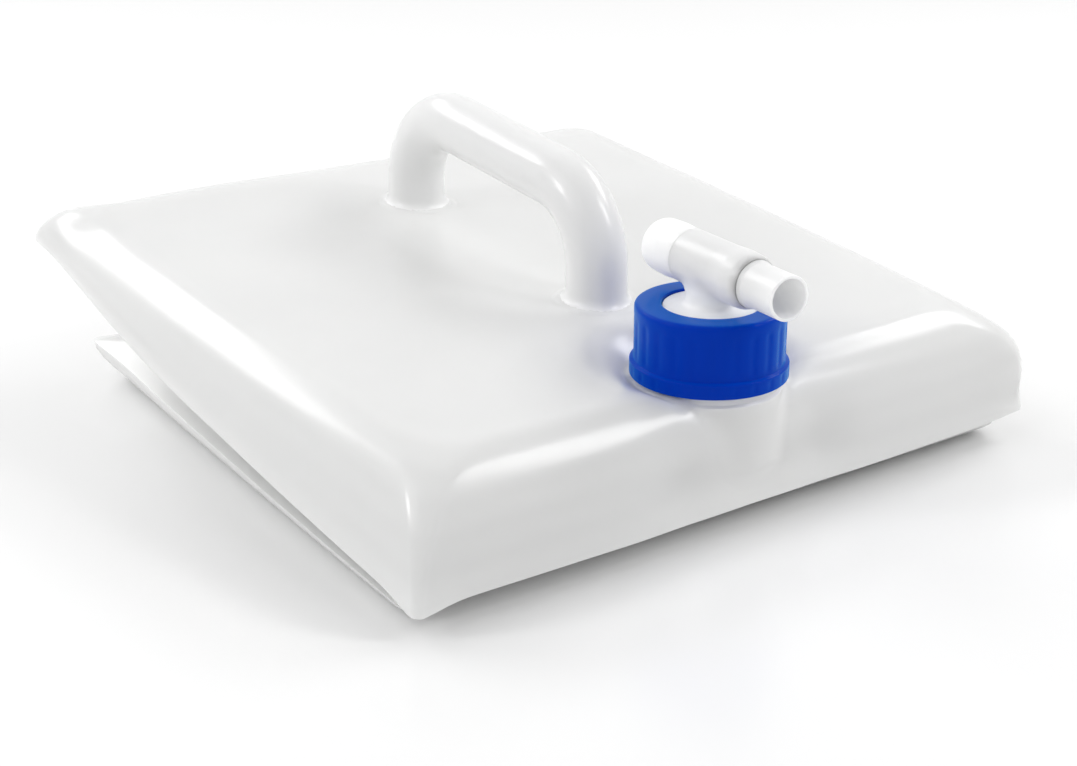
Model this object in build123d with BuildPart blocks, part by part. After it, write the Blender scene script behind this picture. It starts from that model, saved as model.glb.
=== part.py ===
"""A folding ten litre water carrier, folded flat, with its tap screwed on.

The carrier is one blow-moulded film shell: a hollow handle, a neck, and two square layers that fold
into each other between an upper and a lower seam. All lengths are millimetres and all angles degrees.
+Z is up, the tap side is the front at -Y, and the origin is the middle of the base on the floor.
"""
from build123d import *
from math import cos, radians, sin, tan
import os

os.makedirs("parts", exist_ok=True)

# Film shell
film_wall = 1.0
middle_y = -2.3                 # where the tilted layers are hinged, along Y
upper_bows = [1.2, 3.0, 1.6, 4.5]       # how far the front, right, back and left sides bulge out
lower_bows = [1.2, 1.2, 1.6, 1.2]

# Upper layer: its seam, the shoulder above it and the flat top panel
seam_side = 241.0
seam_height = 31.2
seam_tilt = 11.2
seam_corner = 3.0
seam_fill = 2.0                 # walls of film that are pinched together at the seam
shoulder_height = 23.2          # from the seam up to the flat panel, at the middle
panel_tilt = 4.95
panel_corner = 19.0
shoulder_run = 21.0
shoulder_steps = 9

# Lower layer: its seam lies a little askew under the upper one
lower_shifts = [(2.5, 12.5), (-4.5, 8.5), (-12.5, -10.5), (18.5, -3.5)]     # from the upper corners
lower_height = 8.5
lower_tilt = 2.2
lower_corner = 3.0
lower_fill = 3.0                # walls of film pinched together at the lower seam
lower_lift = -0.5               # the middle of that seam's hollow, in walls
base_corner = 15.0
base_run = 12.0
base_steps = 4

# Waist where the side walls fold inwards between the layers
fold_depth = 50.5               # how far the side walls fold in from the upper seam
waist_height = 17.8
waist_tilt = 5.7
waist_band = 3.0
waist_corner = 12.0

# Hollow handle, an arch of round tube across the panel from front to back
handle_radius = 10.0
handle_front_y = -44.0
handle_back_y = 60.0
handle_rise = 35.0              # tube axis above the panel, measured at the middle of the bar
handle_tilt = 6.5
handle_bend = 25.0
foot_radius = 12.6
foot_height = 11.0
foot_depth = 2.0                # how far a foot reaches down into the panel
foot_flare = (-1, 4)            # direction in which the foot's flare leaves the panel

# Neck and the round boss that it stands on
neck_inset = 21.7               # from the front of the upper seam in to the neck's axis
boss_radius = 22.2
boss_drop = 11.9                # from the height of the panel's middle down to the boss's top
boss_foot_radius = 20.0
boss_foot_height = 12.5
boss_straight_height = 19.0
ledge_drop = 3.0
ledge_step = 0.7
neck_radius = 17.6
neck_bore = 14.6
neck_length = 15.9
neck_fill = 2.0                 # walls of film under the neck and at the boss's bottom
dish_drop = 0.6                 # floor of the shallow dish around the neck, below the boss's top
dish_floor_radius = 25.5
dish_radius = 40.0
dish_rise = 7.6
dish_cut = 22.8                 # height of the dish's cut, well clear of the shoulder

# Screw ring
ring_clearance = 0.3
ring_height = 22.0
ring_radius = 22.8
ring_bore = 19.4
ring_hole = 14.7
ring_band_radius = 24.0
ring_band_height = 4.5
ring_edge = 1.4
ring_hole_edge = 0.7
lip_thickness = 2.2
grip_count = 24
grip_depth = 0.55
grip_cutter_radius = 3.0
grip_end = 2.6                  # plain wall left above the grips

# Sealing washer and tap
washer_thickness = 2.0
washer_bore = 11.0
flange_clearance = 0.5
flange_thickness = 2.2
tap_heading = -5.4              # how far the tap is swung round the neck
crown_clearance = 0.35
crown_drop = 0.5
stem_radius = 8.0
stem_flare = 3.0
stem_bore = 4.0
spigot_radius = 7.5
spigot_length = 10.0
stem_height = 12.1              # from the crown's top up to the barrel's axis
barrel_radius = 8.4
barrel_back = 10.3
barrel_front = 11.2
collar_radius = 8.7
collar_end = 21.3
collar_edge = 1.2

# Turning spout key: knob at the back, open tube at the front
spout_radius = 6.75
bearing_radius = 7.25           # the key where it turns in the barrel, a little fatter than the tube
bearing_fit = 0.05
bearing_proud = 0.2             # how far the bearing comes out of the collar
spout_wall = 0.95
spout_reach = 36.6
knob_radius = 8.4
knob_end = 27.3
knob_gap = 0.3
knob_dome = 5.0
port_radius = 3.4
port_web = 3.0                  # solid left between the water way and the knob
rim_edge = 0.3
port_cut = 7.75                 # the port's cut starts at the spout's axis and ends outside it

# Sizes that follow from the others
panel_height = seam_height + shoulder_height
boss_top = panel_height - boss_drop
neck_y = neck_inset - seam_side / 2
waist_side = seam_side - 2 * fold_depth


def layer_plane(height, tilt, lift=0.0):
    """A plane through the middle of the carrier, tilted up towards the back."""
    slope = radians(tilt)
    plane = Plane(origin=(0, middle_y, height), x_dir=(1, 0, 0), z_dir=(0, -sin(slope), cos(slope)))
    return plane.offset(lift)


def square_corners(side):
    """The corners of a square layer, in order around it."""
    half = side / 2
    return [(-half, -half), (half, -half), (half, half), (-half, half)]


def lower_corners():
    """The corners of the lower seam, each a little way from the upper seam's corner over it."""
    return [(x + dx, y + dy) for (x, y), (dx, dy) in zip(square_corners(seam_side), lower_shifts)]


def film_ring(plane, corners, bows, inset, radius):
    """One closed section of the film: four bowed sides between rounded corners."""
    with BuildSketch(plane) as ring:
        with BuildLine():
            moved = [(x - inset * (1 if x > 0 else -1), y - inset * (1 if y > 0 else -1)) for x, y in corners]
            for (x0, y0), (x1, y1), bow in zip(moved, moved[1:] + moved[:1], bows):
                side = Vector(x1 - x0, y1 - y0)
                out = Vector(side.Y, -side.X).normalized() * bow
                ThreePointArc((x0, y0), ((x0 + x1) / 2 + out.X, (y0 + y1) / 2 + out.Y), (x1, y1))
        make_face()
        fillet(ring.vertices(), radius)
    return ring.sketch


def quarter_turn(steps):
    """The angles of a rounded edge, from its side (0) to its face (90)."""
    return [90 * step / steps for step in range(steps + 1)]


def upper_layer(wall):
    """The seam, shoulder and top panel. With a wall it is the space inside them."""
    rings = []
    for angle in quarter_turn(shoulder_steps):
        side, rise = cos(radians(angle)), sin(radians(angle))
        plane = layer_plane(
            seam_height + (panel_height - seam_height) * rise,
            seam_tilt + (panel_tilt - seam_tilt) * rise,
            wall if angle == 0 else -wall * rise,
        )
        inset = shoulder_run * (1 - side) + wall * (seam_fill if angle == 0 else side)
        radius = seam_corner + (panel_corner - seam_corner) * (1 - side)
        rings.append(film_ring(plane, square_corners(seam_side), upper_bows, inset, radius))
    loft(rings, ruled=True)
    with BuildSketch(Plane(origin=(0, neck_y, 0), x_dir=(1, 0, 0), z_dir=(0, -1, 0))) as dish:
        floor = boss_top - dish_drop - wall
        Polygon(
            (0, floor),
            (dish_floor_radius, floor),
            (dish_radius, floor + dish_rise),
            (dish_radius, floor + dish_cut),
            (0, floor + dish_cut),
            align=None,
        )
    revolve(dish.sketch, axis=Axis((0, neck_y, 0), (0, 0, 1)), mode=Mode.SUBTRACT)


def waist_ring(wall, side):
    """The upper (1) or lower (-1) edge of the band at the bottom of the fold."""
    plane = layer_plane(waist_height, waist_tilt, side * (waist_band / 2 + wall))
    return film_ring(plane, square_corners(waist_side), lower_bows, wall, waist_corner)


def upper_fold(wall):
    """The side walls from the upper seam in to the waist."""
    seam_plane = layer_plane(seam_height, seam_tilt, wall)
    seam = film_ring(seam_plane, square_corners(seam_side), upper_bows, seam_fill * wall, seam_corner)
    loft([seam, waist_ring(wall, 1)], ruled=True)


def waist(wall):
    """The narrow band at the bottom of the fold."""
    loft([waist_ring(wall, 1), waist_ring(wall, -1)], ruled=True)


def lower_fold(wall):
    """The side walls from the waist out to the lower seam."""
    seam_plane = layer_plane(lower_height, lower_tilt, lower_lift * wall)
    seam = film_ring(seam_plane, lower_corners(), lower_bows, lower_fill * wall, lower_corner)
    loft([waist_ring(wall, -1), seam], ruled=True)


def lower_layer(wall):
    """The lower seam, its rounded underside and the flat base."""
    rings = []
    for angle in quarter_turn(base_steps):
        side, drop = cos(radians(angle)), sin(radians(angle))
        plane = layer_plane(
            lower_height * (1 - drop),
            lower_tilt * (1 - drop),
            wall * (lower_lift if angle == 0 else drop),
        )
        inset = base_run * (1 - side) + wall * (lower_fill if angle == 0 else side)
        radius = lower_corner + (base_corner - lower_corner) * (1 - side)
        rings.append(film_ring(plane, lower_corners(), lower_bows, inset, radius))
    loft(rings, ruled=True)


def panel_z(y):
    """The height of the top panel at y."""
    return panel_height + (y - middle_y) * tan(radians(panel_tilt))


def handle_tube(wall):
    """The handle's arch and its two flared feet."""
    radius = handle_radius - wall
    bar_middle = (handle_front_y + handle_back_y) / 2
    bar_slope = tan(radians(handle_tilt))
    bar_z = panel_z(bar_middle) + handle_rise
    corners = [
        (handle_back_y, panel_z(handle_back_y) - foot_height / 2),
        (handle_back_y, bar_z + (handle_back_y - bar_middle) * bar_slope),
        (handle_front_y, bar_z + (handle_front_y - bar_middle) * bar_slope),
        (handle_front_y, panel_z(handle_front_y) - foot_height / 2),
    ]
    with BuildLine(Plane.YZ) as arch:
        FilletPolyline(*corners, radius=handle_bend)
    with BuildSketch(Plane(origin=arch.line @ 0, z_dir=arch.line % 0)) as tube:
        Circle(radius)
    sweep(tube.sketch, path=arch.line)
    for foot_y in (handle_front_y, handle_back_y):
        top = panel_z(foot_y) + foot_height
        low = panel_z(foot_y) - foot_depth
        with BuildSketch(Plane(origin=(0, foot_y, 0), x_dir=(1, 0, 0), z_dir=(0, -1, 0))) as foot:
            with BuildLine():
                Polyline((radius, top), (0, top), (0, low), (foot_radius - wall, low))
                TangentArc((foot_radius - wall, low), (radius, top), tangent=foot_flare)
            make_face()
        revolve(foot.sketch, axis=Axis((0, foot_y, 0), (0, 0, 1)))


def neck_and_boss(wall):
    """The boss on the front shoulder, its ledge, and the neck. With a wall it is the way through them."""
    rim = boss_top + neck_length
    ledge = boss_radius - ledge_step
    with BuildSketch(Plane(origin=(0, neck_y, 0), x_dir=(1, 0, 0), z_dir=(0, -1, 0))) as profile:
        with BuildLine():
            if wall:
                foot = boss_foot_height + neck_fill * wall
                Polyline(
                    (boss_radius - wall, boss_straight_height),
                    (boss_radius - wall, boss_top - ledge_drop - wall),
                    (neck_bore, boss_top - neck_fill * wall),
                    (neck_bore, rim),
                    (0, rim),
                    (0, foot),
                    (boss_foot_radius - wall, foot),
                )
                Line((boss_foot_radius - wall, foot), (boss_radius - wall, boss_straight_height))
            else:
                Polyline(
                    (boss_radius, boss_straight_height),
                    (boss_radius, boss_top - ledge_drop),
                    (ledge, boss_top - ledge_drop + ledge_step),
                    (ledge, boss_top),
                    (neck_radius, boss_top),
                    (neck_radius, rim),
                    (0, rim),
                    (0, boss_foot_height),
                    (boss_foot_radius, boss_foot_height),
                )
                Line((boss_foot_radius, boss_foot_height), (boss_radius, boss_straight_height))
        make_face()
    revolve(profile.sketch, axis=Axis((0, neck_y, 0), (0, 0, 1)))


def film_form(wall):
    """Every room of the carrier, as its outside (wall 0) or as the space inside the film."""
    upper_layer(wall)
    upper_fold(wall)
    waist(wall)
    lower_fold(wall)
    lower_layer(wall)
    handle_tube(wall)
    neck_and_boss(wall)


with BuildPart() as inside:
    film_form(film_wall)

with BuildPart() as container_body:
    film_form(0)
    add(inside.part, mode=Mode.SUBTRACT)
container_body.part.label = "container_body"
export_step(container_body.part, "parts/container_body.step")


# Screw ring
ring_low = boss_top + ring_clearance
ring_top = ring_low + ring_height
lip_under = ring_top - lip_thickness
neck_axis = Axis((0, neck_y, 0), (0, 0, 1))
neck_section = Plane(origin=(0, neck_y, 0), x_dir=(1, 0, 0), z_dir=(0, -1, 0))

with BuildPart() as screw_ring:
    with BuildSketch(neck_section):
        with BuildLine():
            Polyline(
                (ring_bore, ring_low),
                (ring_band_radius, ring_low),
                (ring_band_radius, ring_low + ring_band_height),
                (ring_radius, ring_low + ring_band_height),
                (ring_radius, ring_top),
                (ring_hole, ring_top),
                (ring_hole, lip_under),
                (ring_bore, lip_under),
                close=True,
            )
        make_face()
    revolve(axis=neck_axis)
    rims = screw_ring.edges().filter_by(GeomType.CIRCLE).group_by(Axis.Z)[-1].sort_by(SortBy.RADIUS)
    fillet(rims[-1], ring_edge)
    fillet(rims[0], ring_hole_edge)
    with BuildSketch(Plane(origin=(0, neck_y, ring_low + ring_band_height))):
        with PolarLocations(ring_radius + grip_cutter_radius - grip_depth, grip_count):
            Circle(grip_cutter_radius)
    extrude(amount=ring_height - ring_band_height - grip_end, mode=Mode.SUBTRACT)
screw_ring.part.label = "screw_ring"
export_step(screw_ring.part, "parts/screw_ring.step")


# Sealing washer between the neck's rim and the tap
rim_height = boss_top + neck_length
flange_radius = ring_bore - flange_clearance

with BuildPart() as seal_washer:
    with BuildSketch(Plane(origin=(0, neck_y, rim_height))):
        Circle(flange_radius)
        Circle(washer_bore, mode=Mode.SUBTRACT)
    extrude(amount=washer_thickness)
seal_washer.part.label = "seal_washer"
export_step(seal_washer.part, "parts/seal_washer.step")


# Tap body: flange under the ring's lip, crown in its hole, stem and cross barrel
flange_low = rim_height + washer_thickness
flange_top = flange_low + flange_thickness
crown_top = ring_top - crown_drop
barrel_axis_height = crown_top + stem_height
heading = radians(tap_heading)
tube_front = Vector(sin(heading), -cos(heading), 0)
tap_centre = Vector(0, neck_y, barrel_axis_height)


def tube_plane(reach):
    """A plane across the tap's tube, its Y up, at a reach in front of the neck's axis."""
    return Plane(origin=tap_centre + tube_front * reach, x_dir=Vector(0, 0, 1).cross(tube_front), z_dir=tube_front)


with BuildPart() as tap_body:
    with BuildSketch(neck_section):
        with BuildLine():
            Polyline(
                (0, barrel_axis_height),
                (0, flange_low - spigot_length),
                (spigot_radius, flange_low - spigot_length),
                (spigot_radius, flange_low),
                (flange_radius, flange_low),
                (flange_radius, flange_top),
                (ring_hole - crown_clearance, flange_top),
                (ring_hole - crown_clearance, crown_top),
                (stem_radius + stem_flare, crown_top),
            )
            TangentArc(
                (stem_radius + stem_flare, crown_top),
                (stem_radius, crown_top + stem_flare),
                tangent=(-1, 0),
            )
            Polyline(
                (stem_radius, crown_top + stem_flare),
                (stem_radius, barrel_axis_height),
                (0, barrel_axis_height),
            )
        make_face()
    revolve(axis=neck_axis)
    with BuildSketch(tube_plane(-barrel_back)):
        Circle(barrel_radius)
    extrude(amount=barrel_back + barrel_front)
    with BuildSketch(tube_plane(barrel_front)):
        Circle(collar_radius)
    extrude(amount=collar_end - barrel_front)
    collar = tap_body.faces().sort_by(Axis(tap_centre, tube_front))[-1]
    fillet(collar.edges(), collar_edge)
    with BuildSketch(tube_plane(-barrel_back)):
        Circle(bearing_radius + bearing_fit)
    extrude(amount=barrel_back + collar_end, mode=Mode.SUBTRACT)
    with BuildSketch(Plane(origin=(0, neck_y, flange_low - spigot_length))):
        Circle(stem_bore)
    extrude(amount=barrel_axis_height - flange_low + spigot_length, mode=Mode.SUBTRACT)
tap_body.part.label = "tap_body"
export_step(tap_body.part, "parts/tap_body.step")


# Spout key: it turns in the barrel to bring its side port over the stem
bearing_end = collar_end + bearing_proud

with BuildPart() as tap_spout:
    with BuildSketch(tube_plane(-barrel_back - knob_gap)):
        Circle(bearing_radius)
    extrude(amount=barrel_back + knob_gap + bearing_end)
    with BuildSketch(tube_plane(bearing_end)):
        Circle(spout_radius)
    extrude(amount=spout_reach - bearing_end)
    with BuildSketch(tube_plane(-knob_end)):
        Circle(knob_radius)
    extrude(amount=knob_end - barrel_back - knob_gap)
    dome = tap_spout.faces().sort_by(Axis(tap_centre, tube_front))[0]
    fillet(dome.edges(), knob_dome)
    with BuildSketch(tube_plane(-barrel_back + port_web)):
        Circle(spout_radius - spout_wall)
    extrude(amount=barrel_back - port_web + spout_reach, mode=Mode.SUBTRACT)
    rim = tap_spout.faces().sort_by(Axis(tap_centre, tube_front))[-1]
    fillet(rim.edges(), rim_edge)
    port_out = Vector(0, 0, 1).cross(tube_front)
    with BuildSketch(Plane(origin=tap_centre, x_dir=tube_front, z_dir=port_out)):
        Circle(port_radius)
    extrude(amount=port_cut, mode=Mode.SUBTRACT)
tap_spout.part.label = "tap_spout"
export_step(tap_spout.part, "parts/tap_spout.step")
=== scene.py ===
# %% [markdown]
# # A folding water carrier, folded flat
# The real thing is a blow-moulded bag of milky plastic film that folds into itself. A hollow handle and
# a neck are moulded in one piece with it, and a blue ring screws a small white tap onto the neck.
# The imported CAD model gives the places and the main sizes. This script dresses it: it builds the film,
# the ring and the tap again with the soft edges, creases and threads of real ones, in the same frame.

# %% Load the frame
import math

import bmesh
import bpy
import numpy as np
from mathutils import Matrix, Vector
from mathutils.bvhtree import BVHTree
from mathutils.geometry import delaunay_2d_cdt


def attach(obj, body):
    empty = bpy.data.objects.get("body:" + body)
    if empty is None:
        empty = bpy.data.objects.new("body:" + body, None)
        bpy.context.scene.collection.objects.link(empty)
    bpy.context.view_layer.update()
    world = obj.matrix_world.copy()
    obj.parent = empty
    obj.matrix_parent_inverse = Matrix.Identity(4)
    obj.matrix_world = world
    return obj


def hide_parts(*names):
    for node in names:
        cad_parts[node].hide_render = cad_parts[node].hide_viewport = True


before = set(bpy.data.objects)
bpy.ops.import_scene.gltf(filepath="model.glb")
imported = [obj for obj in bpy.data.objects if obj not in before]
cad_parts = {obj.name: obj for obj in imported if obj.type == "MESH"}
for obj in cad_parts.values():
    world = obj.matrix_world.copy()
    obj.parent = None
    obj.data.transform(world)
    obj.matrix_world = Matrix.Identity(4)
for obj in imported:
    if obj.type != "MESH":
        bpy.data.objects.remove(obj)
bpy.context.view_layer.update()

# %% [markdown]
# ## The camera
# It stands at the front left and looks down a little, through a medium long lens, so the square carrier
# shows one corner. Its place was found by fitting the CAD model's corners to the photograph.

# %% Camera
CAMERA_AZIMUTH, CAMERA_ELEVATION = math.radians(-36.61), math.radians(21.02)
CAMERA_DISTANCE, CAMERA_RIGHT, CAMERA_UP = 0.67619, 0.00778, 0.00813
LENS_MM, SENSOR_MM = 65.27, 36

camera_back = Vector((
    math.sin(CAMERA_AZIMUTH) * math.cos(CAMERA_ELEVATION),
    -math.cos(CAMERA_AZIMUTH) * math.cos(CAMERA_ELEVATION),
    math.sin(CAMERA_ELEVATION),
))
camera_right = Vector((math.cos(CAMERA_AZIMUTH), math.sin(CAMERA_AZIMUTH), 0))
camera_up = camera_back.cross(camera_right)
camera_data = bpy.data.cameras.new("photo_camera")
camera_data.lens = LENS_MM
camera_data.sensor_width = SENSOR_MM
camera_data.clip_start, camera_data.clip_end = 0.05, 50
camera = bpy.data.objects.new("photo_camera", camera_data)
bpy.context.scene.collection.objects.link(camera)
camera.location = camera_back * CAMERA_DISTANCE + camera_right * CAMERA_RIGHT + camera_up * CAMERA_UP
camera.rotation_mode = "QUATERNION"
camera.rotation_quaternion = (-camera_back).to_track_quat("-Z", "Y")
bpy.context.scene.camera = camera
print("camera at", [round(v, 4) for v in camera.location])

# %% [markdown]
# ## Helpers for meshes
# Blender works in metres and the carrier's drawing is in millimetres, so each mesh is made in
# millimetres and scaled once, as it becomes an object. Round parts are turned from a profile, as on a
# lathe. Parts that grow into each other are united with a boolean, and the crease between them is then
# rounded with a smooth union, because moulded plastic has no knife-sharp inside corners.

# %% Mesh objects from points and faces
MM = 0.001


def mesh_object(name, points, faces):
    """A new object from points in millimetres."""
    mesh = bpy.data.meshes.new(name)
    mesh.from_pydata((np.asarray(points, float) * MM).tolist(), [], [tuple(f) for f in faces])
    mesh.validate()
    made = bpy.data.objects.new(name, mesh)
    bpy.context.scene.collection.objects.link(made)
    return made


def band(first, second, count):
    """Quads between two closed loops of count points that start at these indices."""
    return [(first + i, first + (i + 1) % count, second + (i + 1) % count, second + i) for i in range(count)]


def outward(made):
    """Turns every face of a closed mesh to the outside."""
    shape = bmesh.new()
    shape.from_mesh(made.data)
    bmesh.ops.recalc_face_normals(shape, faces=shape.faces)
    shape.to_mesh(made.data)
    shape.free()
    return made


def lathe(name, profile, turns, place, radius_shift=None):
    """Turns a closed (radius, height) profile.

    radius_shift(angle, radius, height) carves the grips or the thread.
    """
    count = len(profile)
    points = []
    for step in range(turns):
        angle = 2 * math.pi * step / turns
        for radius, height in profile:
            reach = radius + (radius_shift(angle, radius, height) if radius_shift else 0)
            points.append(place @ Vector((reach * math.cos(angle), reach * math.sin(angle), height)))
    faces = [
        (a * count + i, b * count + i, b * count + (i + 1) % count, a * count + (i + 1) % count)
        for a, b in ((s, (s + 1) % turns) for s in range(turns))
        for i in range(count)
    ]
    return outward(mesh_object(name, points, faces))


def rounded(profile, radii, steps=4, longest=None):
    """A closed profile whose corners are rounded, each by its own radius."""
    made = []
    count = len(profile)
    for i, radius in enumerate(radii):
        corner = Vector(profile[i])
        before, after = Vector(profile[i - 1]) - corner, Vector(profile[(i + 1) % count]) - corner
        if radius == 0:
            made.append(corner)
            continue
        half = before.angle(after) / 2
        reach = min(radius / math.tan(half), before.length * 0.49, after.length * 0.49)
        start, end = corner + before.normalized() * reach, corner + after.normalized() * reach
        for step in range(steps + 1):
            t = step / steps
            made.append(start * (1 - t) ** 2 + corner * 2 * t * (1 - t) + end * t ** 2)
    if longest is None:
        return [tuple(p) for p in made]
    fine = []
    for here, there in zip(made, made[1:] + made[:1]):
        cuts = max(1, math.ceil((there - here).length / longest))
        fine += [tuple(here.lerp(there, cut / cuts)) for cut in range(cuts)]
    return fine


ON_AXIS = 0.01  # profiles stop just short of the axis, so that no face there is without area
print("mesh helpers ready")

# %% [markdown]
# A smooth union needs to know how far a point is from each of the two surfaces. A tree of the surface's
# faces answers that quickly. Where both distances are small, the crease is refined and its points are
# moved onto the blend of the two, which draws the soft root that a mould leaves.

# %% Boolean, refining and rounding


def combine(base, tool, operation):
    """Unites two closed meshes or takes one from the other, and removes the tool."""
    modifier = base.modifiers.new("combine", "BOOLEAN")
    modifier.operation, modifier.solver, modifier.object = operation, "EXACT", tool
    graph = bpy.context.evaluated_depsgraph_get()
    mesh = bpy.data.meshes.new_from_object(base.evaluated_get(graph), depsgraph=graph)
    base.modifiers.remove(modifier)
    old, base.data = base.data, mesh
    bpy.data.meshes.remove(old)
    bpy.data.objects.remove(tool)
    return base


def surface_of(made):
    """A tree for distances to a mesh."""
    graph = bpy.context.evaluated_depsgraph_get()
    return BVHTree.FromObject(made, graph)


def signed(tree, point):
    """Distance to a closed surface, negative inside, and the outward direction there."""
    place, normal, _, distance = tree.find_nearest(point)
    away = point - place
    inside = away.dot(normal) < 0
    if distance < 1e-7:
        return 0.0, normal
    return (-distance if inside else distance), (-away if inside else away) / distance


FILLET_BORDER = 1.3  # points are moved out to this many times the fillet's reach
OPPOSED = 0.2  # the two surfaces face away from each other here, so there is nothing to round
PROJECTION_STEP = 0.9


def fillet_union(made, first, second, reach_mm, edge_mm):
    """Rounds the crease where two united surfaces meet, by a smooth union of their distances."""
    reach, longest = reach_mm * MM, edge_mm * MM
    border = reach * FILLET_BORDER

    def near(point):
        return abs(signed(first, point)[0]) < border and abs(signed(second, point)[0]) < border

    shape = bmesh.new()
    shape.from_mesh(made.data)
    for _ in range(3):
        long_edges = [
            e for e in shape.edges
            if e.calc_length() > longest and near((e.verts[0].co + e.verts[1].co) / 2)
        ]
        if not long_edges:
            break
        bmesh.ops.subdivide_edges(shape, edges=long_edges, cuts=1)
        crowded = [f for f in shape.faces if len(f.verts) > 4]
        bmesh.ops.triangulate(shape, faces=crowded)
    moved = 0
    for vert in shape.verts:
        if not near(vert.co):
            continue
        moved += 1
        for _ in range(5):
            a, a_out = signed(first, vert.co)
            b, b_out = signed(second, vert.co)
            share = min(1.0, max(0.0, 0.5 + 0.5 * (a - b) / reach))
            field = a * (1 - share) + b * share - reach * share * (1 - share)
            out = a_out * (1 - share) + b_out * share
            if out.length < OPPOSED:
                break
            vert.co -= out.normalized() * field * PROJECTION_STEP
    shape.to_mesh(made.data)
    shape.free()
    print(made.name, "rounded at", moved, "points")
    return made


# %% [markdown]
# ## The film's outside
# The bag is two square layers with a fold between them. Going down its side, the film turns over the
# shoulder, reaches the sharp upper seam, folds in to a narrow waist, comes out again to the lower seam
# and rounds under to the base. Every one of those lines is a rounded square, so the skin is a stack of
# closed loops with quads between them. The flat panel and the base are filled with small triangles,
# because that is where the handle and the neck grow out of it.

# %% Loops around the carrier
MIDDLE_Y = -2.3
NECK = Vector((0, -98.8, 0))
UPPER_CORNERS = [(-120.5, -120.5), (120.5, -120.5), (120.5, 120.5), (-120.5, 120.5)]
LOWER_CORNERS = [(-118, -108), (116, -112), (108, 110), (-102, 117)]
WAIST_CORNERS = [(-70, -70), (70, -70), (70, 70), (-70, 70)]
UPPER_BOWS, LOWER_BOWS = [1.2, 3.0, 1.6, 4.5], [1.2, 1.2, 1.6, 1.2]
CORNER_POINTS = 9
CIRCLE_HANDLE = 0.5523  # how far a curve's handles reach, as a share of the radius, to draw a quarter circle
SIDE_POINTS = [
    np.concatenate([np.linspace(0, 0.36, 24), np.linspace(0.37, 0.63, 46), np.linspace(0.64, 1, 24)]),
    np.linspace(0, 1, 64), np.linspace(0, 1, 64), np.linspace(0, 1, 64),
]
LOOP_POINTS = sum(len(s) for s in SIDE_POINTS) + 4 * CORNER_POINTS


def film_loop(corners, bows, inset, radius):
    """One rounded square in its layer's own plane: bowed sides and round corners."""
    moved = [np.array((x - inset * np.sign(x), y - inset * np.sign(y)), float) for x, y in corners]
    sides = []
    for i in range(4):
        start, side = moved[i], moved[(i + 1) % 4] - moved[i]
        length = np.linalg.norm(side)
        out = np.array((side[1], -side[0])) / length
        share = radius / length
        s = share + (1 - 2 * share) * SIDE_POINTS[i]
        line = start + s[:, None] * side + (4 * bows[i] * s * (1 - s))[:, None] * out
        slope = side + (4 * bows[i] * (1 - 2 * s))[:, None] * out
        sides.append((line, slope / np.linalg.norm(slope, axis=1)[:, None]))
    points = []
    turn = np.arange(1, CORNER_POINTS + 1)[:, None] / (CORNER_POINTS + 1)
    left = 1 - turn
    for i in range(4):
        line, slope = sides[i]
        after, after_slope = sides[(i + 1) % 4]
        points.append(line)
        p0, p3 = line[-1], after[0]
        p1 = p0 + slope[-1] * radius * CIRCLE_HANDLE
        p2 = p3 - after_slope[0] * radius * CIRCLE_HANDLE
        points.append(left ** 3 * p0 + 3 * left ** 2 * turn * p1 + 3 * left * turn ** 2 * p2 + turn ** 3 * p3)
    return np.vstack(points)


def in_layer(flat, height, tilt, lift=0.0):
    """Puts points of a layer's plane into space: tilted up to the back, and lifted along its normal."""
    slope = math.radians(tilt)
    x, y = flat[:, 0], flat[:, 1]
    return np.column_stack([
        x,
        MIDDLE_Y + y * math.cos(slope) - lift * math.sin(slope),
        height + y * math.sin(slope) + lift * math.cos(slope),
    ])


print(LOOP_POINTS, "points in each loop")

# %% [markdown]
# The layers aren't level. In the photograph the upper one stands higher at the back, so each loop has
# its own height and tilt, and what lies between is blended from one to the other.

# %% Sizes of the two layers
SEAM_HEIGHT, SEAM_TILT, SEAM_RADIUS = 31.2, 11.2, 3.0
PANEL_HEIGHT, PANEL_TILT, PANEL_RADIUS = 54.4, 4.95, 19.0
SHOULDER_RUN, SHOULDER_STEPS = 21.0, 18
LOWER_HEIGHT, LOWER_TILT, LOWER_RADIUS = 8.5, 2.2, 3.0
WAIST_HEIGHT, WAIST_TILT, WAIST_RADIUS, WAIST_BAND = 17.8, 5.7, 12.0, 3.0
BASE_RADIUS, BASE_RUN, BASE_STEPS = 15.0, 12.0, 7
FOLD_STEPS = 12
SEAM_ROUND = 0.55


def shoulder_loop(angle, wall=0.0):
    """The film at an angle of its turn over the shoulder: 0 at the seam, 90 at the flat panel."""
    side, rise = math.cos(math.radians(angle)), math.sin(math.radians(angle))
    flat = film_loop(
        UPPER_CORNERS, UPPER_BOWS, SHOULDER_RUN * (1 - side) + wall * (2 if angle == 0 else side),
        SEAM_RADIUS + (PANEL_RADIUS - SEAM_RADIUS) * (1 - side),
    )
    return in_layer(
        flat, SEAM_HEIGHT + (PANEL_HEIGHT - SEAM_HEIGHT) * rise, SEAM_TILT + (PANEL_TILT - SEAM_TILT) * rise,
        wall if angle == 0 else -wall * rise,
    )


def base_loop(angle, wall=0.0):
    """The film at an angle of its turn under: 0 at the lower seam, 90 at the flat base."""
    side, drop = math.cos(math.radians(angle)), math.sin(math.radians(angle))
    flat = film_loop(
        LOWER_CORNERS, LOWER_BOWS, BASE_RUN * (1 - side) + wall * (3 if angle == 0 else side),
        LOWER_RADIUS + (BASE_RADIUS - LOWER_RADIUS) * (1 - side),
    )
    return in_layer(
        flat, LOWER_HEIGHT * (1 - drop), LOWER_TILT * (1 - drop), wall * (-0.5 if angle == 0 else drop),
    )


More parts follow.
